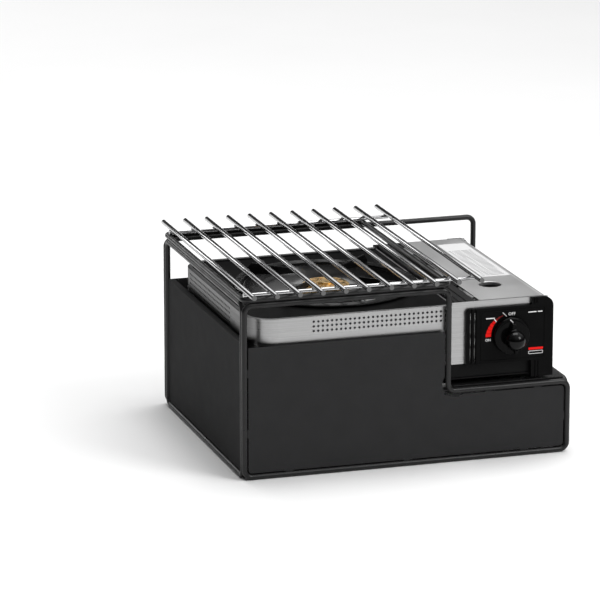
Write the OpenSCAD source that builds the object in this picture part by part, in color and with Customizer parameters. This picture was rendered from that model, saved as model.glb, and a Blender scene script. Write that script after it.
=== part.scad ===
// Camp stove: a gas cassette stove standing in a rod frame with sheet panels and a chrome grate on top.
// Millimetres. +Z up, front at -Y. Origin: centre of the frame's footprint, on the floor.

/* [Stand] */
// outer width of the frame over its rods
stand_w = 363; // [360:1:380]
// outer depth of the frame over its rods
stand_d = 306; // [304:1:320]
// height over the full-height side loops
frame_h = 190.3; // [190:0.1:196]
// height over the low bar at the step
step_h = 80.7; // [70:0.1:81]
// width of the low step, rod centre to rod centre
step_w = 133.9; // [130:0.1:134]
// rod diameter
rod_d = 6; // [5.6:0.1:6]
// centreline radius of the rod bends
bend_r = 8; // [7:0.5:9]
// height of the front and rear sheet above the floor
panel_h = 142.3; // [120:0.1:150]
// sheet thickness of panels and shelf
sheet_t = 1.2; // [1:0.1:1.5]

/* [Grate] */
// number of long bars
bar_n = 11; // [10:1:11]
// spacing of the long bars
bar_pitch = 24.64; // [23:0.01:24.7]
// diameter of the long bars
bar_d = 5.2; // [4:0.1:5.5]
// diameter of the two cross bars
cross_d = 4; // [3.5:0.1:4.5]
// length the bars run past each cross bar
bar_over = 31.5; // [25:0.5:35]
// distance between the two cross bars
cross_gap = 284; // [280:1:290]

/* [Stove] */
// width of the stove body
stove_w = 332; // [330:1:332]
// depth of the stove body
stove_d = 264; // [260:1:266]
// height of the body's rim above the feet
rim_h = 86.6; // [86:0.1:87]
// radius of the two left body corners
corner_r = 30; // [24:1:32]
// sheet thickness of the stove body
skin_t = 1; // [0.8:0.1:1.2]
// diameter of the vent holes
vent_d = 2.5; // [1.6:0.1:2.8]

/* [Burner] */
// radius of the brass crown
crown_r = 25; // [22:0.5:27]
// number of flame slots round the crown
flame_n = 40; // [24:2:44]
// outer radius of the drip bowl's flange
bowl_r = 97; // [95:0.5:98]
// height of the pan support above the feet
support_h = 98.6; // [94:0.1:99]

/* [Controls] */
// diameter of the knob's disc
knob_d = 40; // [38:0.5:41]
// length the knob stands out in front of the panel
knob_out = 26; // [23:0.5:28]
// diameter of the gas cartridge
can_d = 68; // [64:0.5:69]
// diameter of the finger hole in the lid
finger_d = 26; // [20:0.5:28]

/* [Hidden] */
$fn = 64;

// rod centre lines of the frame
rod_r = rod_d / 2;
hx = stand_w / 2 - rod_r;
hy = stand_d / 2 - rod_r;
low_z = rod_r;
top_z = frame_h - rod_r;
step_z = step_h - rod_r;
step_x = hx - step_w;
loop_z = top_z + rod_d;
side_y = hy - rod_d;
weld_gap = 1.1;
edge = rod_r + weld_gap;
lug_l = 9;
hem_w = 7;
rear_air = 14;
shelf_z = step_h;
shelf_top = shelf_z + sheet_t + 0.3;

// grate
rest_gap = 0.25;
cross_z = loop_z + rod_r + rest_gap + cross_d / 2;
bar_z = cross_z + cross_d / 2 + bar_d / 2;
bar_x0 = -hx + 2;
cross_y0 = -hy + 1;

// stove placement in the frame, and its own heights above the feet
seat = [-stand_w / 2 + 11.5, -stand_d / 2 + 8.5, shelf_top + 0.2];
tray_z = 5.6;
floor_z = tray_z + 1.2;
skin_z = 22.1;
high_z = rim_h + 2.6;
high_x = 220;
plate_z = rim_h - 3;
burner = [122, 127.5];
bowl_bend = 28;
bowl_floor = 64.6;
shield_x = 222;
strip_x = 224.5;
strip_z = rim_h + 2;
hinge = [252, 85.6];
pin_r = 1.5;
knuckle_r = 3;
lid_x0 = 256;
lid_t = 1.5;
lid_top = strip_z + 1;
lid_bend = 10;
lid_x1 = stove_w - 2;
lid_skirt_z = 67.9;
lid_y0 = 2;
lid_y1 = stove_d - 1.8;

// controls and gas train
panel_x0 = 234.5;
panel_t = 4;
panel_z0 = 21.1;
panel_z1 = 81.6;
dial = [284.2, 50.7];
spindle_r = 3;
ball_r = 10.5;
socket_l = 2.8;
can = [288, 48.6];
can_y0 = 62;
can_l = 183;
can_t = 0.8;
gas_z = 48;
tube_from = [dial[0], 20];
tube_way = burner - tube_from;
tube_len = norm(tube_way);
tube_dir = tube_way / tube_len;
tube_r = 9;
lead_r = 1.2;
spark_at = [43.6, -5];
spark = burner + spark_at;
piezo = [258, 61.2];
piezo_y = 36;
// the igniter's lead runs back, bends once and runs straight to the electrode
lead_turn = 50;
lead_bend = 5;
lead_way = [-sin(lead_turn), cos(lead_turn)];
lead_end = [spark[0] - piezo[0], spark[1] - piezo_y] - 2.6 * lead_way;
lead_side = lead_bend * (1 - cos(lead_turn));
lead_run = (lead_end[0] + lead_side) / lead_way[0];
lead_s = lead_end[1] - lead_bend * sin(lead_turn) - lead_run * lead_way[1];
lead_knee = [-lead_side, lead_s + lead_bend * sin(lead_turn)];
lead_hole_y = piezo_y + lead_knee[1]
  + (shield_x + 0.5 - piezo[0] + lead_side) / lead_way[0] * lead_way[1];

function unit(v) = v / norm(v);
function along(d) = [tube_from[0] + d * tube_dir[0], tube_from[1] + d * tube_dir[1], gas_z];

// straight round bar between two points
module link(p, q, r) {
  v = q - p;
  translate(p) rotate([0, acos(v[2] / norm(v)), atan2(v[1], v[0])]) cylinder(r = r, h = norm(v));
}

// round bar along Y
module bar_y(x, z, y0, y1, r) {
  translate([x, y0, z]) rotate([-90, 0, 0]) cylinder(r = r, h = y1 - y0);
}

// quarter bend of round rod in the XY plane
module bend(c, a0) {
  translate([c[0], c[1], 0]) rotate([0, 0, a0]) rotate_extrude(angle = 90)
    translate([bend_r, 0]) circle(d = rod_d);
}

// closed loop of rod through the given corner points, in the XY plane
module flat_loop(pts) {
  n = len(pts);
  for (i = [0 : n - 1]) {
    p = pts[i];
    q = pts[(i + 1) % n];
    s = pts[(i + 2) % n];
    a = unit(q - p);
    b = unit(s - q);
    turn = a[0] * b[1] - a[1] * b[0];
    c = q - bend_r * a + bend_r * b;
    bend(c, turn > 0 ? atan2(-b[1], -b[0]) : atan2(a[1], a[0]));
    translate([p[0] + bend_r * a[0], p[1] + bend_r * a[1], 0]) rotate([0, 0, atan2(a[1], a[0])])
      rotate([0, 90, 0]) cylinder(d = rod_d, h = norm(q - p) - 2 * bend_r);
  }
}

// places a flat XY drawing upright in the XZ plane at depth y
module upright(y) {
  translate([0, y, 0]) rotate([90, 0, 0]) children();
}

// places a flat XY drawing upright in the YZ plane at x
module sideways(x) {
  translate([x, 0, 0]) rotate([90, 0, 90]) children();
}

// rectangle with its two lower corners rounded
module sheet_plan(x0, y0, x1, y1, r) {
  translate([x0, y0 + r]) square([x1 - x0, y1 - y0 - r]);
  translate([x0 + r, y0]) square([x1 - x0 - 2 * r, r + 1]);
  translate([x0 + r, y0 + r]) circle(r = r);
  translate([x1 - r, y0 + r]) circle(r = r);
}

// ---- frame ----
module front_frame_loop() {
  color([0.1, 0.1, 0.1]) upright(-hy) flat_loop([
    [-hx, low_z], [hx, low_z], [hx, step_z], [step_x, step_z], [step_x, top_z], [-hx, top_z]
  ]);
}

module rear_frame_loop() {
  color([0.1, 0.1, 0.1]) upright(hy) flat_loop([[-hx, low_z], [hx, low_z], [hx, top_z], [-hx, top_z]]);
}

module left_frame_loop() {
  color([0.1, 0.1, 0.1]) sideways(-hx)
    flat_loop([[-side_y, low_z], [side_y, low_z], [side_y, top_z], [-side_y, top_z]]);
}

module right_frame_loop() {
  color([0.1, 0.1, 0.1]) sideways(hx)
    flat_loop([[-side_y, low_z], [side_y, low_z], [side_y, step_z], [-side_y, step_z]]);
}

module top_frame_loop() {
  color([0.1, 0.1, 0.1]) translate([0, 0, loop_z])
    flat_loop([[-hx, -hy], [step_x, -hy], [step_x, hy], [-hx, hy]]);
}

// small welded lug from a sheet's edge to a rod beside it, in the sheet's own plane
module lug(x, y, dx, dy) {
  translate([dx == 0 ? x - lug_l / 2 : min(x, x + dx), dy == 0 ? y - lug_l / 2 : min(y, y + dy)])
    square([dx == 0 ? lug_l : abs(dx), dy == 0 ? lug_l : abs(dy)]);
}

module front_panel() {
  x0 = -hx + edge;
  x1 = hx - edge;
  xs = step_x - edge;
  z0 = low_z + edge;
  zs = step_z - edge;
  r = bend_r - edge;
  color([0.2, 0.2, 0.2]) upright(-hy + sheet_t / 2) linear_extrude(height = sheet_t) {
    difference() {
      union() {
        sheet_plan(x0, z0, x1, zs - r, r);
        translate([x0, zs - r - 1]) square([x1 - x0 - r, r + 1]);
        translate([x1 - r, zs - r]) circle(r = r);
        translate([x0, zs - 1]) square([xs - x0, panel_h - zs + 1]);
      }
      translate([step_x + bend_r, step_z + bend_r]) circle(r = bend_r + edge + 2.5);
    }
    for (x = [-130, 0, 130]) lug(x, z0 + 0.5, 0, -weld_gap - 0.5);
    for (z = [50, 115]) lug(x0 + 0.5, z, -weld_gap - 0.5, 0);
    lug(xs - 0.5, 115, weld_gap + 0.5, 0);
    lug(x1 - 0.5, 40, weld_gap + 0.5, 0);
    for (x = [90, 145]) lug(x, zs - 0.5, 0, weld_gap + 0.5);
  }
}

module rear_panel() {
  x0 = -hx + edge;
  x1 = hx - edge;
  z0 = low_z + edge + rear_air;
  color([0.2, 0.2, 0.2]) upright(hy + sheet_t / 2) linear_extrude(height = sheet_t) {
    sheet_plan(x0, z0, x1, panel_h, 4);
    for (z = [40, 115]) lug(x0 + 0.5, z, -weld_gap - 0.5, 0);
    for (z = [40, 115]) lug(x1 - 0.5, z, weld_gap + 0.5, 0);
    for (x = [-120, 0, 120]) lug(x, z0 + 0.5, 0, -weld_gap - rear_air - 0.5);
  }
}

module left_panel() {
  y0 = -side_y + edge;
  y1 = side_y - edge;
  z0 = low_z + edge;
  r = bend_r - edge;
  color([0.18, 0.18, 0.18]) {
    sideways(-hx - sheet_t / 2) linear_extrude(height = sheet_t) {
      sheet_plan(y0, z0, y1, panel_h + 2.7, r);
      for (y = [-100, 0, 100]) lug(y, z0 + 0.5, 0, -weld_gap - 0.5);
      for (z = [50, 115]) lug(y0 + 0.5, z, -weld_gap - 0.5, 0);
      for (z = [50, 115]) lug(y1 - 0.5, z, weld_gap + 0.5, 0);
    }
    translate([-hx - sheet_t / 2, y0, panel_h + 2.7 - sheet_t]) cube([hem_w, y1 - y0, sheet_t]);
  }
}

module right_panel() {
  y0 = -side_y + edge;
  y1 = side_y - edge;
  z0 = low_z + edge;
  zs = step_z - edge;
  r = bend_r - edge;
  color([0.18, 0.18, 0.18]) sideways(hx - sheet_t / 2) linear_extrude(height = sheet_t) {
    sheet_plan(y0, z0, y1, zs - r, r);
    translate([y0 + r, zs - r - 1]) square([y1 - y0 - 2 * r, r + 1]);
    for (y = [y0 + r, y1 - r]) translate([y, zs - r]) circle(r = r);
    for (y = [-100, 0, 100]) lug(y, z0 + 0.5, 0, -weld_gap - 0.5);
    for (y = [-100, 100]) lug(y, zs - 0.5, 0, weld_gap + 0.5);
  }
}

module shelf_rails() {
  color([0.1, 0.1, 0.1]) for (y = [-side_y, side_y])
    link([-hx + rod_r, y, step_z], [hx - rod_r - 0.2, y, step_z], rod_r);
}

module stove_shelf() {
  y0 = -hy + rod_r + 0.2;
  notch_x0 = step_x - 8.6;
  notch_x1 = step_x + 6.4;
  color([0.16, 0.16, 0.16]) translate([0, 0, shelf_z]) linear_extrude(height = shelf_top - shelf_z)
    difference() {
      translate([-hx + rod_r + 0.5, y0]) square([2 * hx - rod_d - 1, -2 * y0]);
      translate([notch_x0, y0 - 5]) square([notch_x1 - notch_x0, 22]);
    }
}

// ---- grate ----
module grate_bars() {
  color([0.8, 0.8, 0.8]) for (i = [0 : bar_n - 1])
    bar_y(bar_x0 + i * bar_pitch, bar_z, cross_y0 - bar_over, cross_y0 + cross_gap + bar_over, bar_d / 2);
}

module grate_cross_bars() {
  x0 = bar_x0 - bar_d / 2;
  x1 = bar_x0 + (bar_n - 1) * bar_pitch + bar_d / 2;
  color([0.8, 0.8, 0.8]) for (y = [cross_y0, cross_y0 + cross_gap])
    link([x0, y, cross_z], [x1, y, cross_z], cross_d / 2);
}

// ---- stove ----
// outline of the stove body, drawn in by i
module plan(i) {
  rl = corner_r - i;
  rr = 6 - min(i, 4);
  translate([i, corner_r]) square([corner_r + 1, stove_d - 2 * corner_r]);
  translate([corner_r, i]) square([stove_w - 6 - corner_r, stove_d - 2 * i]);
  translate([stove_w - 7 - rr, i + rr]) square([7 + rr - i, stove_d - 2 * i - 2 * rr]);
  for (y = [corner_r, stove_d - corner_r]) translate([corner_r, y]) circle(r = rl);
  for (y = [i + rr, stove_d - i - rr]) translate([stove_w - i - rr, y]) circle(r = rr);
}

// upright wall that follows the body outline, between two insets
module ring_wall(z0, z1, i0, i1) {
  translate([0, 0, z0]) linear_extrude(height = z1 - z0) difference() {
    plan(i0);
    plan(i1);
  }
}

// places a stove part in the frame
module seated() {
  translate(seat) children();
}

foot_at = [[34, 34], [34, stove_d - 34], [stove_w - 60, 30], [stove_w - 34, stove_d - 34]];

module rubber_feet() {
  color([0.08, 0.08, 0.08]) seated() for (p = foot_at) translate([p[0], p[1], 0]) difference() {
    union() {
      cylinder(r = 9, h = 3.6);
      cylinder(r = 7, h = tray_z);
    }
    translate([0, 0, -1]) cylinder(r = 4, h = 3.4);
    cylinder(r = 1.6, h = tray_z + 1);
  }
}

module foot_screws() {
  color([0.6, 0.6, 0.6]) seated() for (p = foot_at) translate([p[0], p[1], 0]) {
    translate([0, 0, 0.8]) cylinder(r = 3.2, h = 1.6);
    translate([0, 0, 2]) cylinder(r = 1.5, h = tray_z + 2);
  }
}

module base_tray() {
  color([0.25, 0.25, 0.26]) seated() difference() {
    union() {
      translate([0, 0, tray_z]) linear_extrude(height = 1.2) plan(0.4);
      ring_wall(floor_z - 0.2, skin_z + 6, 2.2, 3.2);
    }
    for (p = foot_at) translate([p[0], p[1], 0]) cylinder(r = 1.6, h = 20);
    for (i = [0 : 7]) translate([70 + i * 14, 60, 0]) cube([6, 130, 20]);
  }
}

// a slot with round ends, long side along the first axis
module stadium(l, w) {
  translate([w / 2, 0]) square([l - w, w]);
  for (x = [w / 2, l - w / 2]) translate([x, w / 2]) circle(d = w);
}

module body_shell() {
  color([0.75, 0.75, 0.76]) seated() difference() {
    union() {
      ring_wall(skin_z, rim_h, 0, skin_t);
      ring_wall(rim_h - skin_t, rim_h, 0.2, 5);
      difference() {
        ring_wall(rim_h - 1, high_z, 0, skin_t);
        translate([-1, -1, rim_h - 2]) cube([high_x + 1, stove_d + 2, 8]);
      }
    }
    translate([high_x, 1.4, rim_h - 4]) cube([stove_w - high_x + 1, stove_d - 2.8, 10]);
    translate([stove_w - 15, 1.4, lid_skirt_z - 0.3]) cube([20, stove_d - 2.8, 30]);
    translate([stove_w - 5, -1, lid_skirt_z - 0.3]) cube([10, stove_d + 2, 30]);
    for (i = [0 : 29], j = [0 : 2]) translate([68.3 + 4.98 * i, -1, 71.1 + 5 * j])
      rotate([-90, 0, 0]) cylinder(d = vent_d, h = 4, $fn = 16);
    for (i = [0 : 30], j = [0 : 3]) translate([-1, 77.5 + 5 * i, 66.6 + 5 * j])
      rotate([0, 90, 0]) cylinder(d = vent_d, h = 4, $fn = 16);
    for (s = [[81.5, 43], [146, 45], [211.5, 22]]) translate([-1, s[0], 56.1])
      rotate([90, 0, 90]) linear_extrude(height = 4) stadium(s[1], 5);
    for (i = [0 : 4]) translate([60 + 50 * i, stove_d + 1, 50])
      rotate([90, 0, 0]) linear_extrude(height = 4) stadium(36, 5);
    bar_y(dial[0], dial[1], -1, 4, 12);
  }
}

module top_plate() {
  color([0.5, 0.5, 0.5]) seated() translate([0, 0, plate_z]) linear_extrude(height = 1.2) difference() {
    intersection() {
      plan(skin_t + 0.3);
      translate([0, 0]) square([shield_x, stove_d]);
    }
    translate(burner) circle(r = bowl_r - 7.5);
  }
}

module heat_shield() {
  color([0.6, 0.6, 0.6]) seated() difference() {
    translate([shield_x, 3.6, floor_z]) cube([1, stove_d - 7.2, strip_z - 3 - floor_z]);
    link(along(55), along(95), tube_r + 3);
    translate([shield_x - 2, lead_hole_y, piezo[1]]) rotate([0, 90, 0]) cylinder(r = 3.5, h = 5);
  }
}

module drip_bowl() {
  c = bowl_floor + bowl_bend;
  lip = plate_z + 1.2;
  color([0.8, 0.8, 0.8]) seated() translate([burner[0], burner[1], 0]) difference() {
    rotate_extrude() {
      intersection() {
        difference() {
          translate([60, c]) circle(r = bowl_bend + 1);
          translate([60, c]) circle(r = bowl_bend);
        }
        translate([60, bowl_floor - 2]) square([40, lip + 0.6 - bowl_floor + 2]);
      }
      translate([86.8, lip]) square([bowl_r - 86.8, 1]);
      translate([24, bowl_floor - 1]) square([37, 1]);
    }
    translate([spark_at[0], spark_at[1], bowl_floor - 3]) cylinder(r = 4, h = 6);
  }
}

module burner_bracket() {
  color([0.6, 0.6, 0.6]) seated() translate([burner[0], burner[1], 0]) {
    translate([-34, -12, 34.8]) cube([68, 24, 1.2]);
    for (x = [-34, 32.8]) translate([x, -12, floor_z]) cube([1.2, 24, 36 - floor_z]);
    for (x = [-46, 32.8]) translate([x, -12, floor_z]) cube([13.2, 24, 1.2]);
  }
}

module burner_body() {
  color([0.7, 0.7, 0.7]) seated() difference() {
    translate([burner[0], burner[1], 0]) rotate_extrude()
      polygon([
        [0, 36], [20, 36], [20, 56], [28, 60], [28, bowl_floor - 1.2], [23, bowl_floor - 1.2],
        [23, 66], [14, 66], [14, 40], [0, 40]
      ]);
    link(along(150), along(tube_len - 10), tube_r + 0.05);
  }
}

module burner_saucer() {
  color([0.75, 0.75, 0.75]) seated() translate([burner[0], burner[1], 0]) rotate_extrude() intersection() {
    difference() {
      translate([14, 106.2]) circle(r = 40);
      translate([14, 106.2]) circle(r = 38.8);
    }
    translate([14, 60]) square([26, 16]);
  }
}

module burner_crown() {
  color([0.8, 0.6, 0.3]) seated() translate([burner[0], burner[1], 69.2]) difference() {
    union() {
      cylinder(r = crown_r, h = 17);
      cylinder(r = crown_r - 2, h = 18.5);
      cylinder(r = 9, h = 20);
      translate([0, 0, -8]) cylinder(r = 13.6, h = 10);
    }
    translate([0, 0, -1]) difference() {
      cylinder(r = crown_r - 6, h = 15);
      cylinder(r = 13.6, h = 15);
    }
    translate([0, 0, -9]) cylinder(r = 11, h = 23);
    for (i = [0 : flame_n - 1]) rotate([0, 0, i * 360 / flame_n]) translate([crown_r - 3.5, -0.75, 1.5])
      cube([5, 1.5, 10]);
    for (i = [0 : 19]) rotate([0, 0, i * 18]) translate([11, -0.6, 17.3]) cube([crown_r - 14, 1.2, 3]);
  }
}

module mixing_tube() {
  color([0.7, 0.7, 0.7]) seated() difference() {
    union() {
      link(along(40), along(tube_len - 18.8), tube_r);
      link(along(34), along(40.5), tube_r + 1.2);
    }
    link(along(33), along(tube_len - 17), tube_r - 1.2);
    translate([0, 0, gas_z - 14]) translate(along(46) - [0, 0, gas_z]) cylinder(r = 4, h = 9);
  }
}

module gas_injector() {
  color([0.8, 0.6, 0.3]) seated() difference() {
    union() {
      link(along(26), along(30), 6.2);
      link(along(30), along(38), 3.5);
    }
    link(along(25), along(39), 0.8);
  }
}

module regulator_body() {
  color([0.65, 0.65, 0.66]) seated() difference() {
    union() {
      bar_y(dial[0], dial[1], 3.6, 28, 19);
      bar_y(can[0], can[1], 24, 45.5, 15);
      link(along(10), along(26), 7);
    }
    bar_y(dial[0], dial[1], 2, 18, spindle_r + 0.06);
    bar_y(can[0], can[1], 34, 47, 4.2);
  }
}

module magnet_holder() {
  color([0.5, 0.5, 0.5]) seated() difference() {
    union() {
      bar_y(can[0], can[1], 52, 53.5, 31);
      translate([can[0] - 22, 52, floor_z]) cube([44, 1.5, 24]);
      translate([can[0] - 22, 42, floor_z]) cube([44, 11, 1.2]);
    }
    bar_y(can[0], can[1], 50, 56, 17.5);
  }
}

module magnets() {
  color([0.3, 0.3, 0.3]) seated() for (a = [45, 135, 225, 315])
    bar_y(can[0] + 24.5 * cos(a), can[1] + 24.5 * sin(a), 53.5, 59.5, 5);
}

module piezo_igniter() {
  color([0.85, 0.82, 0.75]) seated() {
    bar_y(piezo[0], piezo[1], 4, 32, 5);
    bar_y(piezo[0], piezo[1], 32, piezo_y, 3);
  }
}

module ignition_lead() {
  color([0.7, 0.1, 0.1]) seated() translate([piezo[0], piezo_y, piezo[1]]) {
    bar_y(0, 0, 0, lead_s, lead_r);
    translate([-lead_bend, lead_s, 0]) rotate_extrude(angle = lead_turn)
      translate([lead_bend, 0]) circle(r = lead_r);
    link([lead_knee[0], lead_knee[1], 0], [lead_end[0], lead_end[1], 0], lead_r);
  }
}

module spark_electrode() {
  color([0.9, 0.9, 0.88]) seated() {
    translate([spark[0], spark[1], 58.5]) cylinder(r = 2.5, h = 17);
    translate([spark[0], spark[1], 75]) cylinder(r = 0.9, h = 6);
    link([spark[0], spark[1], 79.9], [burner[0] + 28.8, burner[1] - 3.3, 79.9], 0.7);
  }
}

module electrode_bracket() {
  color([0.6, 0.6, 0.6]) seated() difference() {
    translate([spark[0] - 5, spark[1] - 6, bowl_floor]) cube([16, 12, 1.2]);
    translate([spark[0], spark[1], bowl_floor - 1]) cylinder(r = 2.6, h = 4);
  }
}

module cartridge_cradle() {
  color([0.6, 0.6, 0.6]) seated() difference() {
    union() {
      for (y = [100, 205]) translate([can[0] - 30, y, floor_z]) cube([60, 1.5, 24]);
      translate([can[0] - 12, 90, floor_z]) cube([24, 130, 1.2]);
    }
    bar_y(can[0], can[1], 80, 230, can_d / 2 + 0.3);
  }
}

knuckle_y = [[20, 50], [115, 145], [215, 245]];

module divider_strip() {
  y0 = 1.8;
  y1 = stove_d - 1.6;
  color([0.12, 0.12, 0.12]) seated() difference() {
    union() {
      translate([0, y1, 0]) rotate([90, 0, 0]) linear_extrude(height = y1 - y0) polygon([
        [strip_x, 76], [strip_x, strip_z], [229, strip_z], [229, strip_z + 1], [231, strip_z + 1],
        [231, strip_z], [237, strip_z], [237, strip_z + 1], [239, strip_z + 1], [239, strip_z],
        [247, strip_z], [247, 81.6], [lid_x0, 81.6], [lid_x0, 79.6], [245, 79.6], [245, strip_z - 2],
        [strip_x + 2, strip_z - 2], [strip_x + 2, 76]
      ]);
      for (y = [[2, 12], [70, 90], [170, 190], [250, 262]]) {
        bar_y(hinge[0], hinge[1], y[0], y[1], knuckle_r);
        translate([hinge[0] - 2, y[0], 81]) cube([4, y[1] - y[0], hinge[1] - 81]);
      }
    }
    bar_y(hinge[0], hinge[1], 0, stove_d, pin_r + 0.03);
  }
}

module lid_hinge_pin() {
  color([0.7, 0.7, 0.7]) seated() bar_y(hinge[0], hinge[1], 4, stove_d - 4, pin_r);
}

module rear_end_cap() {
  color([0.2, 0.2, 0.2]) seated() upright_cap(stove_d + 2, 2, 44);
}

// black corner cap with a rounded top right corner, front face at y, thickness t, foot at z0
module upright_cap(y, t, z0) {
  translate([0, y, 0]) rotate([90, 0, 0]) linear_extrude(height = t) {
    translate([307.5, z0]) square([stove_w - 307.5, high_z - z0 - lid_bend]);
    translate([307.5, z0]) square([stove_w - 307.5 - lid_bend, high_z - z0]);
    translate([stove_w - lid_bend, high_z - lid_bend]) circle(r = lid_bend);
  }
}

module control_panel() {
  color([0.08, 0.08, 0.08]) seated() difference() {
    union() {
      upright_cap(0, panel_t, 3);
      translate([panel_x0 + 5, -panel_t, panel_z0])
        cube([stove_w - panel_x0 - 15, panel_t, panel_z1 - panel_z0]);
      translate([panel_x0, -panel_t, panel_z0]) cube([8, panel_t, panel_z1 - panel_z0 - 5]);
      translate([panel_x0 + 5, 0, panel_z1 - 5]) rotate([90, 0, 0]) cylinder(r = 5, h = panel_t);
    }
    for (x = [239.5, 244.3]) translate([x, -panel_t - 1, panel_z0 - 1]) cube([1.6, 2.4, 70]);
    for (x = [311, 314.4]) translate([x, -panel_t - 1, 0]) cube([1.5, 2, panel_z0]);
    for (x = [309.5, 312.5]) translate([x, -panel_t - 1, panel_z1 + 1]) cube([1.4, 2, 12]);
    difference() {
      translate([250, -panel_t - 1, 24]) cube([72, 1.5, 54.6]);
      translate([251.2, -panel_t - 1, 25.2]) cube([69.6, 1.6, 52.2]);
    }
    bar_y(dial[0], dial[1], -panel_t - 1, 1, spindle_r + 1);
  }
}

// point on the dial at radius r, a degrees left of straight up
function clock(r, a) = [-r * sin(a), r * cos(a)];

module dial_scale() {
  color([0.8, 0.1, 0.1]) seated() translate([dial[0], -panel_t, dial[1]]) rotate([90, 0, 0])
    linear_extrude(height = 0.2) {
      for (i = [0 : 7]) {
        a = 22 + i * 8.73;
        b = a + 8;
        r0 = 22.8 - i * 0.14;
        r1 = 23.8 + i * 0.6;
        polygon([clock(r0, a), clock(r1, a), clock(r1, b), clock(r0, b)]);
      }
      polygon([clock(21, 12), clock(21, 14), clock(26.4, 20.8), clock(26.4, 19.2)]);
    }
}

module pan_support() {
  z0 = plate_z + 2.5;
  color([0.12, 0.12, 0.12]) seated() translate([burner[0], burner[1], 0]) {
    rotate_extrude() polygon([
      [88.5, z0], [99, z0], [99, z0 + 1.2], [97.6, z0 + 2.6], [96.2, z0 + 1.4], [94.8, z0 + 1.4],
      [93.6, z0 + 2.6], [92.4, z0 + 1.4], [91, z0 + 1.4], [89.8, z0 + 2.4], [88.5, z0 + 1.2]
    ]);
    for (a = [45, 135, 225, 315]) rotate([0, 0, a]) translate([0, 1, 0]) rotate([90, 0, 0])
      linear_extrude(height = 2) polygon([
        [96, z0 + 1], [96, z0 + 5], [90, support_h], [40, support_h], [36, support_h - 5], [60, z0 + 3],
        [87, z0 + 1]
      ]);
  }
}

module knob() {
  y0 = -panel_t - 0.4;
  color([0.06, 0.06, 0.06]) seated() translate([dial[0], y0, dial[1]]) rotate([90, 0, 0]) difference() {
    union() {
      rotate_extrude() polygon([
        [0, 0], [knob_d / 2, 0], [knob_d / 2, 4.6], [knob_d / 2 - 1.2, 6], [0, 6]
      ]);
      translate([0, -2.5, 5.5]) cylinder(r = 8, h = knob_out - 14);
      translate([0, -2.5, knob_out - ball_r]) sphere(r = ball_r);
      translate([0, 0, 5]) linear_extrude(height = 5.6)
        polygon([[-7, -3], [-2.8, 8], [-1.8, 14.2], [1.8, 14.2], [2.8, 8], [7, -3]]);
      translate([-1.8, -16.6, knob_out - 13]) cube([3.6, 7, 5]);
    }
    translate([0, 0, -1]) cylinder(r = spindle_r + 0.05, h = socket_l + 1);
  }
}

module knob_pointer() {
  color([0.95, 0.95, 0.95]) seated() translate([dial[0], -panel_t - 6.4, dial[1]]) rotate([90, 0, 0])
    linear_extrude(height = 0.3) polygon([[0.6, 15.3], [-2.6, 18.4], [-3.2, 17.8], [0, 14.7]]);
}

module valve_spindle() {
  color([0.6, 0.6, 0.6]) seated() bar_y(dial[0], dial[1], -panel_t - 0.3 - socket_l, 16, spindle_r);
}

// ---- lid ----
module cartridge_lid() {
  c = [lid_x1 - lid_bend, lid_top - lid_bend];
  color([0.75, 0.75, 0.75]) seated() difference() {
    union() {
      translate([0, lid_y1, 0]) rotate([90, 0, 0]) linear_extrude(height = lid_y1 - lid_y0) {
        translate([lid_x0, lid_top - lid_t]) square([c[0] - lid_x0, lid_t]);
        translate([hinge[0] - 1.2, lid_top - 0.9]) square([lid_x0 - hinge[0] + 2.2, 0.9]);
        intersection() {
          translate(c) difference() {
            circle(r = lid_bend);
            circle(r = lid_bend - lid_t);
          }
          translate(c) square([lid_bend + 1, lid_bend + 1]);
        }
        translate([lid_x1 - lid_t, lid_skirt_z]) square([lid_t, c[1] - lid_skirt_z]);
      }
      for (y = knuckle_y) {
        bar_y(hinge[0], hinge[1], y[0], y[1], knuckle_r);
        translate([hinge[0], y[0], lid_top - 2.5]) cube([lid_x0 - hinge[0] + 1, y[1] - y[0], 2.5]);
        translate([hinge[0], y[0], hinge[1]]) cube([2.6, y[1] - y[0], lid_top - hinge[1]]);
      }
    }
    bar_y(hinge[0], hinge[1], 0, stove_d, pin_r + 0.06);
    translate([284, 60.5, lid_top - 5]) cylinder(d = finger_d, h = 10);
  }
}

module label_plate() {
  color([0.9, 0.9, 0.9]) seated() translate([286.5, 92, lid_top]) cube([32, 147.5, 0.25]);
}

// ---- cartridge ----
module gas_cartridge() {
  r = can_d / 2;
  color([0.3, 0.5, 0.7]) seated() translate([can[0], can_y0, can[1]]) rotate([-90, 0, 0]) rotate_extrude()
    polygon([
      [2.5, 0], [19, 0], [30, 3], [r - 1, 7], [r, 9], [r, can_l - 3], [r - 1, can_l], [r - 4, can_l],
      [r - 5, can_l - 4], [0, can_l - 8], [0, can_l - 8 - can_t], [r - 5.4, can_l - 4 - can_t],
      [r - can_t, can_l - 5], [r - can_t, 9.4], [r - 1 - can_t, 7.4], [29.6, 3 + can_t], [19, can_t],
      [2.5, can_t]
    ]);
}

module cartridge_valve() {
  color([0.7, 0.7, 0.7]) seated() {
    bar_y(can[0], can[1], 55, can_y0, 13);
    bar_y(can[0], can[1], 50, 55, 15.5);
    bar_y(can[0], can[1], 40, 50, 3);
  }
}

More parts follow.
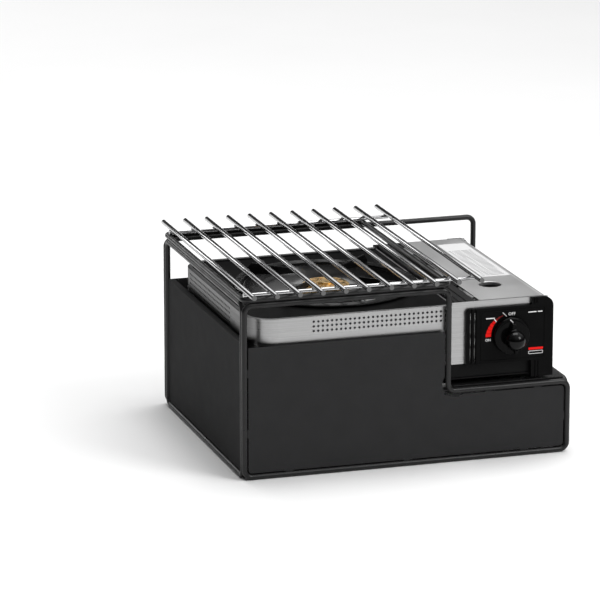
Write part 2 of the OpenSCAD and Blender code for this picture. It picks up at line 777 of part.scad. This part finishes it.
front_frame_loop();
rear_frame_loop();
left_frame_loop();
right_frame_loop();
top_frame_loop();
front_panel();
rear_panel();
left_panel();
right_panel();
shelf_rails();
stove_shelf();
grate_bars();
grate_cross_bars();
rubber_feet();
foot_screws();
base_tray();
body_shell();
top_plate();
heat_shield();
drip_bowl();
burner_bracket();
burner_body();
burner_saucer();
burner_crown();
mixing_tube();
gas_injector();
regulator_body();
magnet_holder();
magnets();
piezo_igniter();
ignition_lead();
spark_electrode();
electrode_bracket();
cartridge_cradle();
divider_strip();
lid_hinge_pin();
rear_end_cap();
control_panel();
dial_scale();
pan_support();
knob();
knob_pointer();
valve_spindle();
cartridge_lid();
label_plate();
gas_cartridge();
cartridge_valve();
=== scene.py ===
"""Camp stove: a gas cassette stove in a black rod frame with a chrome grate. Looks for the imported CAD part.

Metres, +Z up, front at -Y. Printed marks, the finer knob, ribs, collar and weld beads are made here.
"""
import math

import bmesh
import bpy
from mathutils import Matrix, Vector


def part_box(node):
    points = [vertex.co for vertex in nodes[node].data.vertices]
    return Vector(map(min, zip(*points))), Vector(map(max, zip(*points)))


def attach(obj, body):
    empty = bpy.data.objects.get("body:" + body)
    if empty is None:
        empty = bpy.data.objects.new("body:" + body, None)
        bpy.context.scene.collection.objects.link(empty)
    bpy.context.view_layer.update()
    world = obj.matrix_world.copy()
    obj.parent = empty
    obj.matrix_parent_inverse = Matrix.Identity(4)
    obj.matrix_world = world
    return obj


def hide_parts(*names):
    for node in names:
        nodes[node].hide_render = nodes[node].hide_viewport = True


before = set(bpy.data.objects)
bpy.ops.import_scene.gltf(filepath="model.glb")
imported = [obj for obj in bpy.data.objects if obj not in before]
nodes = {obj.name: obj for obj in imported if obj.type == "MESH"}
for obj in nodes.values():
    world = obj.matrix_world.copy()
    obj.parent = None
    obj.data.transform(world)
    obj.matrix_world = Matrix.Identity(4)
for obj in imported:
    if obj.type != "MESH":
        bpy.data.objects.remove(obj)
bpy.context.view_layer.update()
scene = bpy.context.scene


# ---------------------------------------------------------------- camera
CAMERA_AT = (-1.3305, -4.0380, 1.2623)
CAMERA_TURN = (math.radians(75.242), 0, math.radians(-17.316))
LENS_MM = 244.9

cam_data = bpy.data.cameras.new("camera")
cam = bpy.data.objects.new("camera", cam_data)
scene.collection.objects.link(cam)
cam.location = CAMERA_AT
cam.rotation_euler = CAMERA_TURN
cam_data.lens = LENS_MM
cam_data.sensor_width = 36
cam_data.clip_end = 200
scene.camera = cam
scene.view_settings.view_transform = "Standard"


# ---------------------------------------------------------------- materials
COAT_ROUGHNESS = 0.1
NOISE_LOW, NOISE_HIGH = 0.3, 0.7  # the part of a noise's range that carries detail


def map_range(tree, value, a, b, lo, hi):
    """Adds a node that maps a..b to lo..hi and clamps it."""
    n = tree.nodes.new("ShaderNodeMapRange")
    n.inputs["From Min"].default_value = a
    n.inputs["From Max"].default_value = b
    n.inputs["To Min"].default_value = lo
    n.inputs["To Max"].default_value = hi
    tree.links.new(value, n.inputs["Value"])
    return n


class Mat:
    """A procedural material: a Principled shader with helpers that link detail to its sockets."""

    def __init__(self, name, color, rough=0.5, metal=0.0, spec=0.5, coat=0.0):
        self.m = bpy.data.materials.new(name)
        self.m.use_nodes = True
        self.t = self.m.node_tree
        self.bsdf = self.t.nodes["Principled BSDF"]
        self.color = color
        self.rough = rough
        for socket, value in (("Base Color", (*color, 1)), ("Roughness", rough), ("Metallic", metal),
                              ("Specular IOR Level", spec), ("Coat Weight", coat),
                              ("Coat Roughness", COAT_ROUGHNESS)):
            self.bsdf.inputs[socket].default_value = value
        self.coord = self.t.nodes.new("ShaderNodeTexCoord")

    def mapping(self, scale):
        """Object coordinates stretched by scale."""
        n = self.t.nodes.new("ShaderNodeMapping")
        n.inputs["Scale"].default_value = scale
        self.t.links.new(self.coord.outputs["Object"], n.inputs["Vector"])
        return n.outputs["Vector"]

    def noise(self, scale, detail=3.0, stretch=(1, 1, 1), rough=0.55):
        """Noise fixed to the object, between 0 and 1."""
        n = self.t.nodes.new("ShaderNodeTexNoise")
        n.inputs["Scale"].default_value = scale
        n.inputs["Detail"].default_value = detail
        n.inputs["Roughness"].default_value = rough
        self.t.links.new(self.mapping(stretch), n.inputs["Vector"])
        return n.outputs["Fac"]

    def ranged(self, fac, a, b, lo, hi):
        """Maps a..b to lo..hi and clamps it."""
        return map_range(self.t, fac, a, b, lo, hi).outputs["Result"]

    def mix(self, fac, c0, c1):
        """Blends two fixed colours by fac."""
        n = self.t.nodes.new("ShaderNodeMix")
        n.data_type = "RGBA"
        n.inputs["A"].default_value = (*c0, 1)
        n.inputs["B"].default_value = (*c1, 1)
        self.t.links.new(fac, n.inputs["Factor"])
        return n.outputs["Result"]

    def mix_over(self, fac, under, color):
        """Lays a colour over another node's colour by fac."""
        n = self.t.nodes.new("ShaderNodeMix")
        n.data_type = "RGBA"
        n.inputs["B"].default_value = (*color, 1)
        self.t.links.new(under, n.inputs["A"])
        self.t.links.new(fac, n.inputs["Factor"])
        return n.outputs["Result"]

    def math(self, op, a, b=0):
        """Math node; a and b are numbers or sockets."""
        n = self.t.nodes.new("ShaderNodeMath")
        n.operation = op
        for k, v in ((0, a), (1, b)):
            if isinstance(v, (int, float)):
                n.inputs[k].default_value = v
            else:
                self.t.links.new(v, n.inputs[k])
        return n.outputs["Value"]

    def axis(self, name):
        """One of the object coordinates X, Y, Z."""
        n = self.t.nodes.new("ShaderNodeSeparateXYZ")
        self.t.links.new(self.coord.outputs["Object"], n.inputs["Vector"])
        return n.outputs[name]

    def set_color(self, out):
        self.t.links.new(out, self.bsdf.inputs["Base Color"])

    def set_rough(self, out):
        self.t.links.new(out, self.bsdf.inputs["Roughness"])

    def spread(self, amount):
        """The base colour made darker and lighter by a share."""
        darker = tuple(c * (1 - amount) for c in self.color)
        lighter = tuple(min(1, c * (1 + amount)) for c in self.color)
        return darker, lighter

    def detail(self, fac, lo, hi):
        """Maps the busy part of a noise to lo..hi."""
        return self.ranged(fac, NOISE_LOW, NOISE_HIGH, lo, hi)

    def vary(self, scale, amount, rough_amount=0.0):
        """Uneven colour and roughness that follow the same noise."""
        f = self.noise(scale)
        self.set_color(self.mix(self.detail(f, 0, 1), *self.spread(amount)))
        if rough_amount:
            self.set_rough(self.detail(f, self.rough - rough_amount, self.rough + rough_amount))
        return self

    def bump(self, fac, strength, distance):
        """Fine relief on the surface."""
        n = self.t.nodes.new("ShaderNodeBump")
        n.inputs["Strength"].default_value = strength
        n.inputs["Distance"].default_value = distance
        self.t.links.new(fac, n.inputs["Height"])
        self.t.links.new(n.outputs["Normal"], self.bsdf.inputs["Normal"])

    def grain(self, scale, strength, distance, detail=2):
        """Relief from a fine noise of its own."""
        self.bump(self.noise(scale, detail), strength, distance)
        return self


def coat_black(name, level, rough, spec, drift=0.1):
    """Powder coat with fine grain."""
    m = Mat(name, (level, level, level * 1.02), rough, spec=spec)
    return m.vary(45, drift, 0.05).grain(1400, 0.3, 0.0002)


def brushed(name, level, rough, wall_x, corner_x, painted_shade_share):
    """Steel brushed level, with painted shade: the colour darkens to the given share of the level from
    corner_x to the left wall at wall_x.
    """
    m = Mat(name, (level, level, level), rough, metal=1.0)
    f = m.noise(1.0, 2.0, (4, 4, 1600), 0.7)
    steel = m.mix(m.detail(f, 0, 1), *m.spread(0.14))
    # painted shade: the left wall and its rounded corner are darkened in the colour itself
    wall = m.ranged(m.axis("X"), wall_x, corner_x, 1, 0)
    m.set_color(m.mix_over(wall, steel, (level * painted_shade_share,) * 3))
    m.set_rough(m.detail(f, rough - 0.06, rough + 0.08))
    m.bump(f, 0.12, 0.0001)
    return m


def paint_shade_on_bar_ends(m, node, reach, color):
    """Darkens both ends of the bars along Y with painted shade, a darker reflection laid into the colour."""
    lo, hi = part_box(node)
    y = m.axis("Y")
    front = m.ranged(y, lo[1] + reach / 2, lo[1] + reach, 1, 0)
    rear = m.ranged(y, hi[1] - reach, hi[1] - reach / 2, 0, 1)
    plating = m.bsdf.inputs["Base Color"].links[0].from_socket
    m.set_color(m.mix_over(m.math("ADD", front, rear), plating, color))


M = {}
M["rod"] = coat_black("powder_coat_rod", 0.0115, 0.32, 0.3)
M["panel"] = coat_black("powder_coat_sheet", 0.031, 0.62, 0.02, 0.04)
M["shelf"] = coat_black("powder_coat_shelf", 0.0115, 0.3, 0.22)
M["chrome"] = (Mat("chrome_rod", (0.46, 0.46, 0.465), 0.1, metal=1.0)
               .vary(60, 0.04, 0.03).grain(500, 0.05, 0.0002))
# painted shade on both ends of the grate bars
paint_shade_on_bar_ends(M["chrome"], "grate_bars", 0.003, (0.13, 0.13, 0.13))
# the last three numbers place and set the painted shade on the shell's left wall
M["stainless"] = brushed("brushed_stainless", 0.4, 0.32, -0.1697, -0.157, 0.2)
M["plate"] = (Mat("plate_enamel", (0.005, 0.005, 0.0051), 0.35, spec=0.02)
              .vary(40, 0.2, 0.04).grain(120, 0.08, 0.0003))
M["bowl"] = Mat("bowl_enamel", (0.012, 0.012, 0.0122), 0.16, spec=0.5).vary(30, 0.15, 0.04)
M["zinc"] = Mat("zinc_sheet", (0.5, 0.5, 0.5), 0.4, metal=1.0).vary(90, 0.12, 0.08)
M["tray"] = coat_black("tray_enamel", 0.006, 0.4, 0.06)
M["cast"] = (Mat("cast_aluminium", (0.58, 0.58, 0.58), 0.42, metal=1.0)
             .vary(160, 0.12, 0.08).grain(900, 0.4, 0.0003, 3))
M["brass"] = (Mat("brass_crown", (0.86, 0.6, 0.27), 0.3, metal=1.0)
              .vary(120, 0.15, 0.1).grain(1500, 0.2, 0.0002))
M["rubber"] = Mat("foot_rubber", (0.02, 0.02, 0.02), 0.75).vary(200, 0.25, 0.08)
M["plastic"] = (Mat("black_plastic", (0.0033, 0.0033, 0.0034), 0.34, spec=0.04)
                .vary(70, 0.2, 0.06).grain(2600, 0.25, 0.00012))
M["ribs"] = Mat("rib_plastic", (0.012, 0.012, 0.012), 0.25, spec=0.6).vary(90, 0.2, 0.05)
M["strip"] = (Mat("divider_plastic", (0.006, 0.006, 0.0062), 0.32, spec=0.16)
              .vary(80, 0.2, 0.07).grain(2200, 0.25, 0.00015))
M["gloss"] = Mat("knob_gloss", (0.002, 0.002, 0.0021), 0.1, spec=0.07).vary(60, 0.2, 0.04)
M["ball"] = Mat("knob_ball_gloss", (0.002, 0.002, 0.0021), 0.07, spec=0.17).vary(60, 0.2, 0.03)
M["white"] = Mat("print_white", (0.82, 0.82, 0.82), 0.5).vary(900, 0.06)
M["enamel"] = (Mat("black_enamel", (0.006, 0.006, 0.006), 0.25, spec=0.15)
               .vary(60, 0.25, 0.08).grain(350, 0.2, 0.0003))
M["magnet"] = Mat("magnet_grey", (0.07, 0.07, 0.075), 0.5, metal=0.6).vary(300, 0.2, 0.08)
M["ceramic"] = Mat("white_ceramic", (0.8, 0.79, 0.75), 0.25).vary(150, 0.06, 0.05)
M["lead"] = Mat("red_sleeve", (0.4, 0.03, 0.02), 0.5).vary(200, 0.15, 0.05)
M["ivory"] = Mat("igniter_body", (0.72, 0.69, 0.6), 0.4).vary(150, 0.05, 0.05)
M["lid"] = (Mat("lid_satin", (0.52, 0.52, 0.52), 0.36, metal=0.8)
            .vary(14, 0.05, 0.04).grain(1600, 0.12, 0.0001))

# the knob's axis, radius, back face and tip
k0, k1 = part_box("knob")
kx, kz = (k0[0] + k1[0]) / 2, (k0[2] + k1[2]) / 2
kr = (k1[0] - k0[0]) / 2
back, tip = k1[1], k0[1]


def dial_material():
    """Red band that darkens toward its thin end, with the off mark beside it in white."""
    m = Mat("dial_print", (0.8, 0.008, 0.005), 0.45, spec=0.12)
    x = m.math("SUBTRACT", m.axis("X"), kx)
    z = m.math("SUBTRACT", m.axis("Z"), kz)
    band = m.mix(m.ranged(z, 0.0145, 0.018, 0, 1), (0.8, 0.006, 0.004), (0.16, 0.01, 0.008))
    # the mark lies right of a line through the knob's axis that leans left by this angle
    lean = math.tan(math.radians(21.4))
    mark = m.math("GREATER_THAN", m.math("ADD", x, m.math("MULTIPLY", z, lean)), 0)
    m.set_color(m.mix_over(mark, band, (0.8, 0.8, 0.8)))
    m.set_rough(m.detail(m.noise(900), 0.4, 0.5))
    return m


M["dial"] = dial_material()
M["red"] = Mat("print_red", (0.8, 0.008, 0.006), 0.45, spec=0.12).vary(900, 0.06, 0.04)
M["can"] = Mat("can_paint", (0.02, 0.02, 0.022), 0.3, coat=0.4).vary(40, 0.08, 0.04)

LABEL_ROW = 0.0052  # distance between two rows of strokes


def label_material():
    """Pale printed film with rows of thin grey generic strokes."""
    m = Mat("label_film", (0.6, 0.6, 0.6), 0.5, spec=0.2)
    x0, y0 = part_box("label_plate")[0][:2]
    u = m.math("SUBTRACT", m.axis("X"), x0)
    v = m.math("SUBTRACT", m.axis("Y"), y0)
    wave = m.math("FRACT", m.math("MULTIPLY", v, 1 / LABEL_ROW))
    row = m.math("LESS_THAN", wave, 0.4)
    strokes = m.ranged(m.noise(420, 1, (1, 0.02, 1)), 0.4, 0.46, 0, 1)
    # the print stops at these distances from the film's left and front edges
    across = m.math("MULTIPLY", m.math("GREATER_THAN", u, 0.0025), m.math("LESS_THAN", u, 0.0285))
    along = m.math("MULTIPLY", m.math("GREATER_THAN", v, 0.003), m.math("LESS_THAN", v, 0.118))
    ink = m.math("MULTIPLY", m.math("MULTIPLY", row, strokes), m.math("MULTIPLY", across, along))
    base = m.mix(m.noise(60), (0.6, 0.6, 0.6), (0.66, 0.66, 0.66))
    m.set_color(m.mix_over(m.math("MULTIPLY", ink, 0.9), base, (0.17, 0.17, 0.175)))
    return m


M["label"] = label_material()

LOOK = {
    "rod": ["front_frame_loop", "rear_frame_loop", "left_frame_loop", "right_frame_loop", "top_frame_loop",
            "shelf_rails"],
    "panel": ["front_panel", "rear_panel", "left_panel", "right_panel"],
    "shelf": ["stove_shelf"],
    "chrome": ["grate_bars", "grate_cross_bars"],
    "rubber": ["rubber_feet"],
    "zinc": ["foot_screws", "heat_shield", "burner_bracket", "magnet_holder", "electrode_bracket",
             "cartridge_cradle", "lid_hinge_pin", "valve_spindle", "cartridge_valve"],
    "tray": ["base_tray"],
    "stainless": ["body_shell"],
    "plate": ["top_plate"],
    "bowl": ["drip_bowl"],
    "cast": ["burner_body", "burner_saucer", "mixing_tube", "regulator_body"],
    "brass": ["burner_crown", "gas_injector"],
    "magnet": ["magnets"],
    "ivory": ["piezo_igniter"],
    "lead": ["ignition_lead"],
    "ceramic": ["spark_electrode"],
    "strip": ["divider_strip", "rear_end_cap"],
    "plastic": ["control_panel"],
    "dial": ["dial_scale"],
    "enamel": ["pan_support"],
    "gloss": ["knob"],
    "white": ["knob_pointer"],
    "lid": ["cartridge_lid"],
    "label": ["label_plate"],
    "can": ["gas_cartridge"],
}
for key, names in LOOK.items():
    for n in names:
        ob = nodes[n]
        ob.data.materials.clear()
        ob.data.materials.append(M[key].m)


# ---------------------------------------------------------------- pieces made here
UPRIGHT = Matrix.Rotation(math.pi / 2, 4, "X")  # turns a flat shape to face the front


def add_piece(name, bm, mat, body, smooth=True):
    """Turns a bmesh into a piece that rides on a CAD body."""
    mesh = bpy.data.meshes.new(name)
    bmesh.ops.recalc_face_normals(bm, faces=bm.faces)
    bm.to_mesh(mesh)
    bm.free()
    ob = bpy.data.objects.new(name, mesh)
    scene.collection.objects.link(ob)
    mesh.materials.append(M[mat].m)
    for f in mesh.polygons:
        f.use_smooth = smooth
    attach(ob, body)
    return ob


def lathe(profile, centre, steps=96):
    """Surface turned about the Y axis through centre; profile holds (radius, y) pairs."""
    bm = bmesh.new()
    rings = []
    for r, y in profile:
        if r == 0:
            rings.append([bm.verts.new((centre[0], y, centre[1]))])
            continue
        rings.append([bm.verts.new((centre[0] + r * math.cos(a), y, centre[1] + r * math.sin(a)))
                      for a in (2 * math.pi * i / steps for i in range(steps))])
    for a, b in zip(rings, rings[1:]):
        for i in range(steps):
            j = (i + 1) % steps
            quad = [a[i % len(a)], a[j % len(a)], b[j % len(b)], b[i % len(b)]]
            quad = [v for k, v in enumerate(quad) if v not in quad[:k]]
            if len(quad) > 2:
                bm.faces.new(quad)
    return bm


def apply_all(ob):
    """Bakes an object's modifiers into its mesh."""
    deps = bpy.context.evaluated_depsgraph_get()
    mesh = bpy.data.meshes.new_from_object(ob.evaluated_get(deps))
    ob.modifiers.clear()
    old, ob.data = ob.data, mesh
    bpy.data.meshes.remove(old)


def soften(ob, width, segments=2):
    """Rounds the sharp edges of a piece with a narrow bevel."""
    weld = ob.modifiers.new("weld", "WELD")
    weld.merge_threshold = 0.00001
    bevel = ob.modifiers.new("edge", "BEVEL")
    bevel.width = width
    bevel.segments = segments
    bevel.limit_method = "ANGLE"
    bevel.angle_limit = math.radians(35)
    bevel.harden_normals = True
    bevel.use_clamp_overlap = True


# the knob's disc, with a groove inside its rim
disc_y = back - 0.006
disc = add_piece("knob_disc", lathe([
    (0, back), (kr - 0.0006, back), (kr, back - 0.0006), (kr, back - 0.0042),
    (kr - 0.0005, back - 0.0052), (kr - 0.0014, disc_y), (kr - 0.0022, disc_y + 0.0004),
    (kr - 0.0028, disc_y + 0.0001), (kr - 0.0036, disc_y), (0, disc_y)
], (kx, kz)), "gloss", "dial")
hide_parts("knob")

# the knob's grip: a ball that runs up into a narrowing bar, remeshed as one smooth form
BALL_RADIUS, BALL_DROP = 0.0105, 0.0025
GRIP_BAR = [  # half width, height over the knob's axis, depth behind the disc's face
    (0.0072, -0.0030, 0.001), (0.0030, 0.0080, 0.001), (0.0019, 0.0144, 0.001),
    (0.0019, 0.0144, -0.0046), (0.0026, 0.0080, -0.0054), (0.0060, -0.0030, -0.0052),
]
bm = bmesh.new()
bmesh.ops.create_icosphere(bm, subdivisions=5, radius=BALL_RADIUS + 0.0002,
                           matrix=Matrix.Translation((kx, tip + BALL_RADIUS, kz - BALL_DROP)))
hull = bmesh.new()
for w, h, d in GRIP_BAR:
    for sign in (-1, 1):
        hull.verts.new((kx + sign * w, disc_y + d, kz + h))
bmesh.ops.convex_hull(hull, input=hull.verts)
tmp = bpy.data.meshes.new("tmp")
hull.to_mesh(tmp)
hull.free()
bm.from_mesh(tmp)
bpy.data.meshes.remove(tmp)
grip = add_piece("knob_grip", bm, "ball", "dial")
remesh = grip.modifiers.new("remesh", "REMESH")
remesh.mode = "VOXEL"
remesh.voxel_size = 0.0005
smooth = grip.modifiers.new("smooth", "SMOOTH")
smooth.factor = 0.6
smooth.iterations = 5
apply_all(grip)
for f in grip.data.polygons:
    f.use_smooth = True
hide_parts("knob")


# prints start 0.1 mm in front of the control panel, whose face is 0.4 mm behind the knob
face_y = back + 0.0004 - 0.0001
INK = 0.00006  # thickness of a letter on each side, and how much bolder it is drawn


def words(name, text, size, x, z):
    """Short generic lettering, upright in white on the control panel."""
    c = bpy.data.curves.new(name, "FONT")
    c.body = text
    c.size = size
    c.extrude = INK
    c.offset = INK
    c.align_x = "CENTER"
    c.align_y = "CENTER"
    c.space_character = 1.05
    ob = bpy.data.objects.new(name + "_tmp", c)
    scene.collection.objects.link(ob)
    ob.matrix_world = Matrix.Translation((x, face_y, z)) @ UPRIGHT
    bpy.context.view_layer.update()
    mesh = bpy.data.meshes.new_from_object(ob.evaluated_get(bpy.context.evaluated_depsgraph_get()))
    mesh.transform(ob.matrix_world)
    bpy.data.objects.remove(ob)
    mesh.materials.clear()
    new = bpy.data.objects.new(name, mesh)
    scene.collection.objects.link(new)
    mesh.materials.append(M["white"].m)
    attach(new, "stove")


words("word_on", "ON", 0.0038, kx - 0.0252, kz - 0.0040)
words("word_off", "OFF", 0.0044, kx + 0.0012, kz + 0.0226)


def plate_shape(name, outline, y0, y1, mat, body, hole=None):
    """Thin upright plate from an outline of (x, z) points, with an optional hole of as many points."""
    bm = bmesh.new()
    outlines = [outline, hole] if hole else [outline]
    rings = [[bm.verts.new((x, y, z)) for x, z in pts] for pts in outlines for y in (y0, y1)]
    n = len(outline)
    for i in range(n):
        j = (i + 1) % n
        bm.faces.new([rings[0][i], rings[0][j], rings[1][j], rings[1][i]])
        if hole:
            bm.faces.new([rings[2][i], rings[2][j], rings[3][j], rings[3][i]])
            for a, b in ((0, 2), (1, 3)):
                bm.faces.new([rings[a][i], rings[a][j], rings[b][j], rings[b][i]])
    if not hole:
        bm.faces.new(rings[0])
        bm.faces.new(rings[1])
    return add_piece(name, bm, mat, body, smooth=False)


def rounded(x, z, w, h, r, steps=4):
    """Outline of a rectangle w wide and h high from its lower left corner, with rounded corners."""
    pts = []
    left, right, bottom, top = x + r, x + w - r, z + r, z + h - r
    for cx, cz, start in ((right, top, 0), (left, top, 90), (left, bottom, 180), (right, bottom, 270)):
        for i in range(steps + 1):
            a = math.radians(start + 90 * i / steps)
            pts.append((cx + r * math.cos(a), cz + r * math.sin(a)))
    return pts


def turn(r, a):
    """Point on the dial at radius r, a degrees left of straight up."""
    return kx - r * math.sin(math.radians(a)), kz + r * math.cos(math.radians(a))


def white_print(name, outline, hole=None, front=face_y, rear=face_y + 0.0003):
    """White printed mark on the control panel."""
    plate_shape(name, outline, front, rear, "white", "stove", hole)


white_print("dial_tick", [turn(0.0222, 45), turn(0.0262, 44), turn(0.0262, 46.2), turn(0.0222, 47.4)],
            front=face_y - 0.0002, rear=face_y + 0.0002)

# a plain red bar over an empty white outline, in the badge's place
BADGE_WIDTH, BADGE_LINE = 0.0162, 0.0005
badge_x, badge_z = kx + 0.0203, kz - 0.0228
plate_shape("badge_bar", rounded(badge_x, badge_z + 0.0046, BADGE_WIDTH, 0.0025, 0.0004),
            face_y, face_y + 0.0003, "red", "stove")
white_print("badge_frame", rounded(badge_x, badge_z, BADGE_WIDTH, 0.0034, 0.001),
            rounded(badge_x + BADGE_LINE, badge_z + BADGE_LINE, 0.0152, 0.0024, 0.0006))

# plain dashes in the place of words: position from the knob's axis, and length
DASH_HEIGHT = 0.0011
for name, x, z, length in [("dash_left", -0.0277, 0.0189, 0.0098),
                           ("dash_right_a", 0.0196, 0.0225, 0.0092),
                           ("dash_right_b", 0.0302, 0.0225, 0.0052)]:
    white_print(name, rounded(kx + x, kz + z, length, DASH_HEIGHT, 0.0003))

# raised half-round ribs down the left end of the control panel, each in two lengths
RIB_RADIUS, RIB_LENGTH = 0.0009, 0.0268
panel_left, panel_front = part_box("control_panel")[0][:2]
bm = bmesh.new()
for x in (0.0044, 0.0092):
    for half in (-1, 1):
        rib = bmesh.ops.create_cone(bm, cap_ends=True, segments=24, radius1=RIB_RADIUS, radius2=RIB_RADIUS,
                                    depth=RIB_LENGTH)["verts"]
        bmesh.ops.rotate(bm, verts=rib, matrix=Matrix.Rotation(math.radians(7.5), 3, "Z"))
        bmesh.ops.translate(bm, verts=rib,
                            vec=(panel_left + x, panel_front + 0.0001, kz + half * RIB_LENGTH / 2))
add_piece("panel_ribs", bm, "ribs", "stove")

# flat tab under the knob's ball
tab = plate_shape("knob_tab", rounded(kx - 0.0018, kz - 0.0165, 0.0036, 0.0070, 0.0007),
                  tip + 0.0131, tip + 0.0080, "gloss", "dial")
soften(tab, 0.0005)
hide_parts("knob")

# turned-down collar of the finger hole in the lid
HOLE_X, HOLE_Y = kx - 0.0002, -0.084
COLLAR = [  # radius, height over the lid's top
    (0.0131, -0.0006), (0.0127, -0.0001), (0.0123, -0.0001), (0.012, -0.0006),
    (0.012, -0.004), (0.0127, -0.004), (0.0129, -0.0009), (0.0131, -0.0006),
]
lid_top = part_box("cartridge_lid")[1][2]
bm = lathe(COLLAR, (0, 0), 64)
bm.transform(Matrix.Translation((HOLE_X, HOLE_Y, lid_top)) @ UPRIGHT)
add_piece("hole_collar", bm, "lid", "lid")

# weld beads where the long bars cross the two thin bars, a little uneven in width
BAR_COUNT = 11
BEAD_RADIUS, BEAD_FLATNESS = 0.0027, 0.55
b0, b1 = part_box("grate_bars")
c0, c1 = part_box("grate_cross_bars")
bar_r, thin_r = (b1[2] - b0[2]) / 2, (c1[2] - c0[2]) / 2
bm = bmesh.new()
for i in range(BAR_COUNT):
    x = b0[0] + bar_r + i * (b1[0] - b0[0] - 2 * bar_r) / (BAR_COUNT - 1)
    squash = Matrix.Diagonal((1 + 0.06 * math.sin(5 * i), 1, BEAD_FLATNESS, 1))
    for y in (c0[1] + thin_r, c1[1] - thin_r):
        bmesh.ops.create_icosphere(bm, subdivisions=3, radius=BEAD_RADIUS,
                                   matrix=Matrix.Translation((x, y, c1[2])) @ squash)
add_piece("grate_welds", bm, "chrome", "grate")

# edges of carried-over CAD nodes, rounded by a modifier; the nodes' own vertices stay as packed
EDGE_WIDTHS = {
    "left_panel": 0.0003, "control_panel": 0.0006, "divider_strip": 0.0003, "cartridge_lid": 0.0003,
    "base_tray": 0.0002, "pan_support": 0.0003, "front_panel": 0.0002, "stove_shelf": 0.0003,
    "grate_cross_bars": 0.001,
}
for name, width in EDGE_WIDTHS.items():
    soften(nodes[name], width)
soften(nodes["grate_bars"], 0.0024, 4)


# ---------------------------------------------------------------- floor and light
M["floor"] = Mat("floor_pale", (0.88, 0.88, 0.88), 0.9, spec=0.1).vary(3, 0.01)
bm = bmesh.new()
bmesh.ops.create_grid(bm, x_segments=2, y_segments=2, size=30)
mesh = bpy.data.meshes.new("floor")
bm.to_mesh(mesh)
bm.free()
floor = bpy.data.objects.new("floor", mesh)
scene.collection.objects.link(floor)
mesh.materials.append(M["floor"].m)

world = bpy.data.worlds.new("studio")
scene.world = world
world.use_nodes = True
tree = world.node_tree
sky = tree.nodes["Background"]
coord = tree.nodes.new("ShaderNodeTexCoord")
toward = tree.nodes.new("ShaderNodeSeparateXYZ")
tree.links.new(coord.outputs["Generated"], toward.inputs["Vector"])
# brighter overhead than at the horizon, and darker at the left than at the right
height = map_range(tree, toward.outputs["Z"], 0.2, 0.8, 0.06, 1.15)
height.interpolation_type = "SMOOTHSTEP"
side = map_range(tree, toward.outputs["X"], -0.7, 0.5, 0.15, 1.15)
both = tree.nodes.new("ShaderNodeMath")
both.operation = "MULTIPLY"
tree.links.new(height.outputs["Result"], both.inputs[0])
tree.links.new(side.outputs["Result"], both.inputs[1])
tree.links.new(both.outputs["Value"], sky.inputs["Strength"])
sky.inputs["Color"].default_value = (1, 1, 1, 1)


def area(name, loc, target, size, power):
    """Rectangular area light that points at target."""
    light = bpy.data.lights.new(name, "AREA")
    light.shape = "RECTANGLE"
    light.size, light.size_y = size
    light.energy = power
    ob = bpy.data.objects.new(name, light)
    ob.location = loc
    ob.rotation_euler = (Vector(target) - Vector(loc)).to_track_quat("-Z", "Y").to_euler()
    scene.collection.objects.link(ob)


area("key", (1.6, -2.0, 2.0), (0, 0, 0.1), (1.2, 1.2), 44)
area("top", (0.1, 0.3, 2.4), (0, 0, 0.1), (1.6, 1.2), 31)
area("backdrop", (0.4, 3.2, 2.6), (0.4, 3.2, 0), (3.0, 1.6), 18)
area("rear", (-0.9, 3.2, 1.0), (0, 0, 0.2), (0.5, 1.1), 6.5)
